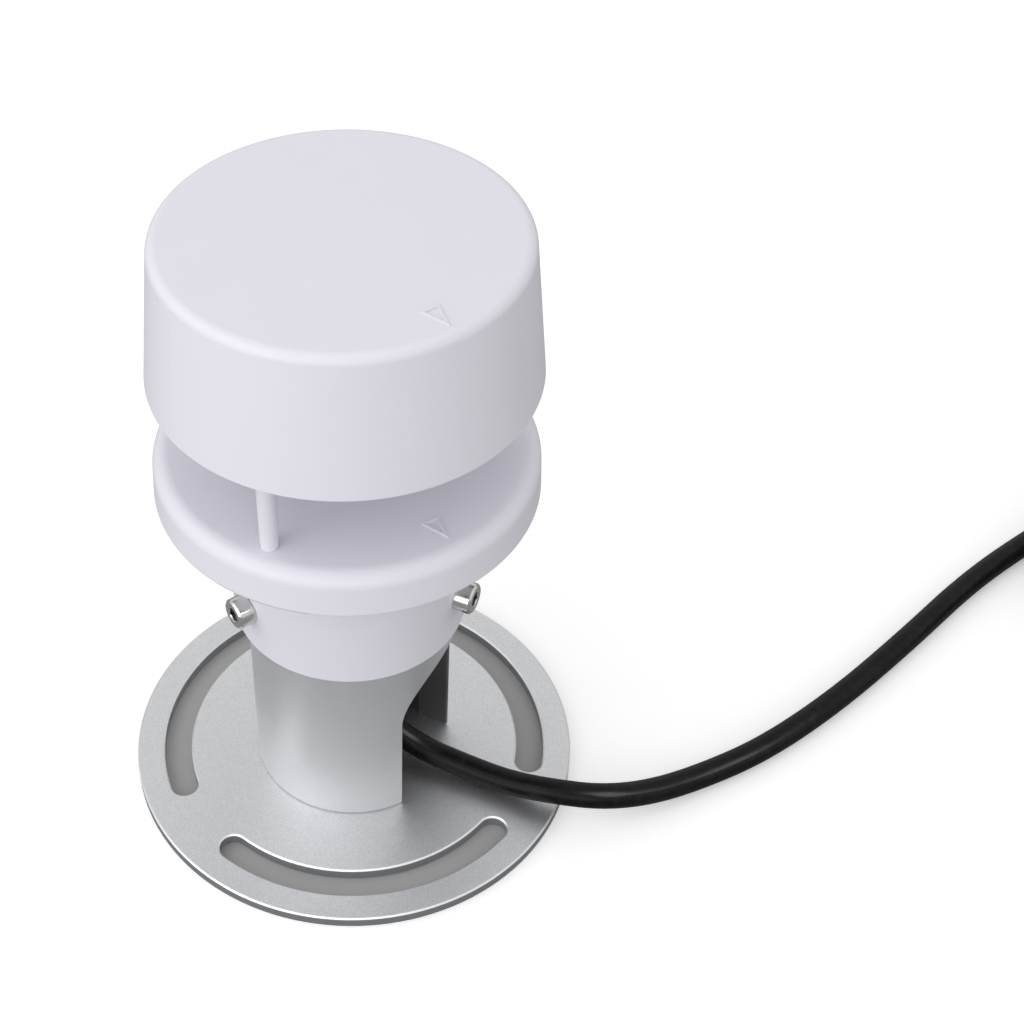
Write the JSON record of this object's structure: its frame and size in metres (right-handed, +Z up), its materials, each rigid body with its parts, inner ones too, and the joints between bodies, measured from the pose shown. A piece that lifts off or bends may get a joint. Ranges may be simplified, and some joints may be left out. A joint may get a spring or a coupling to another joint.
{
  "type": "ultrasonic wind sensor",
  "caption": "Compact ultrasonic wind sensor: capped head on slim posts over a reflector deck, clamped neck, tube with cable window and slotted round flange.",
  "frame": {"origin": "centre of the underside of the round flange, on the tube axis", "axes": "+Z up along the tube to the cap; +Y towards the direction marks on the cap and deck; the cable window faces 30 degrees to the left of the marks, seen from above"},
  "size_m": [0.3105, 0.1815, 0.1523],
  "materials": {
    "abs_white": "fine satin moulded",
    "flange_aluminium": "bead-blasted and clear anodised",
    "tube_aluminium": "fine turned satin",
    "stainless": "polished stainless",
    "brass": "turned",
    "gasket_rubber": "matt",
    "cable_jacket": "satin jacket",
    "shrink_sleeve": "satin heat-shrink",
    "core_red": "satin insulation",
    "core_black": "satin insulation",
    "core_yellow": "satin insulation",
    "core_green": "satin insulation",
    "ferrule_tin": "tin plate",
    "gland_nylon": "moulded nylon",
    "circuit_board": "solder mask",
    "chip_black": "moulded epoxy",
    "capacitor_can": "bare can",
    "plug_nylon": "natural nylon",
    "transducer_can": "machined can",
    "grey_wire": "satin insulation"
  },
  "bodies": {
    "mount": {"flange_plate": "flange_aluminium", "mounting_tube": "tube_aluminium", "flange_screws": "stainless", "cable": "cable_jacket", "cable_coil": "cable_jacket", "cable_tail": "cable_jacket", "cable_end_sleeve": "shrink_sleeve", "core_red": "core_red", "core_black": "core_black", "core_yellow": "core_yellow", "core_green": "core_green", "core_ferrules": "ferrule_tin"},
    "gasket": {"neck_gasket": "gasket_rubber"},
    "head": {"lower_housing": "abs_white", "clamp_inserts": "brass", "clamp_screws": "stainless", "cap_base": "abs_white", "post_screws": "stainless", "top_cap": "abs_white", "cap_gasket": "gasket_rubber", "cap_screws": "stainless", "transducer_1": "transducer_can", "transducer_2": "transducer_can", "transducer_3": "transducer_can", "transducer_4": "transducer_can", "transducer_boots": "gasket_rubber", "transducer_leads": "grey_wire", "main_board": "circuit_board", "control_chip": "chip_black", "coupling_coils": "chip_black", "storage_capacitors": "capacitor_can", "cap_plug": "plug_nylon", "main_board_screws": "stainless", "harness": "grey_wire", "closure_plate": "abs_white", "closure_screws": "stainless", "closure_gasket": "gasket_rubber", "interface_board": "circuit_board", "board_standoffs": "brass", "neck_plug": "plug_nylon", "interface_chip": "chip_black", "surge_suppressors": "chip_black", "interface_board_screws": "stainless", "gland_body": "gland_nylon", "gland_nut": "gland_nylon", "gland_seal": "gasket_rubber", "gland_locknut": "gland_nylon", "cable_leads": "core_yellow"}
  },
  "joints": [
    {"name": "head_swivel", "type": "hinge", "parent": "mount", "child": "gasket", "pos_m": [0, 0, 0.0628], "axis": [0, 0, 1], "range_deg": [-180, 180]},
    {"name": "head_lift", "type": "slide", "parent": "gasket", "child": "head", "axis": [0, 0, 1], "range_m": [0, 0.025]}
  ]
}
